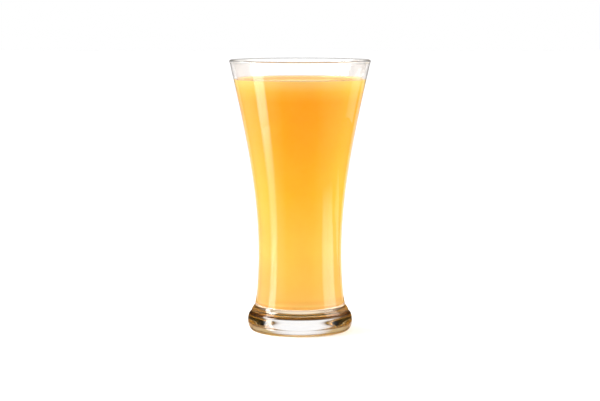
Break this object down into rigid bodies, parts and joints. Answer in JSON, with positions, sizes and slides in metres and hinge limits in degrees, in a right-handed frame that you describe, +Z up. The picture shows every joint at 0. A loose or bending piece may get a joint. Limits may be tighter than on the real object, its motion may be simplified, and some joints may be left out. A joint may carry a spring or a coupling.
{
  "type": "glass of orange juice",
  "caption": "Footed clear glass with a narrow waist, flared side and rolled lip, filled with cloudy orange juice to just under the lip.",
  "frame": {"origin": "middle of the flat ring under the foot that the glass stands on", "axes": "+Z up along the glass's axis of symmetry, from the foot to the mouth; X and Y are alike"},
  "size_m": [0.082, 0.082, 0.1579],
  "materials": {
    "clear_glass": "clear, colourless, polished pressed glass",
    "orange_juice": "cloudy orange juice, wet surface"
  },
  "bodies": {
    "root": {"glass": "clear_glass", "juice": "orange_juice"}
  },
  "joints": []
}
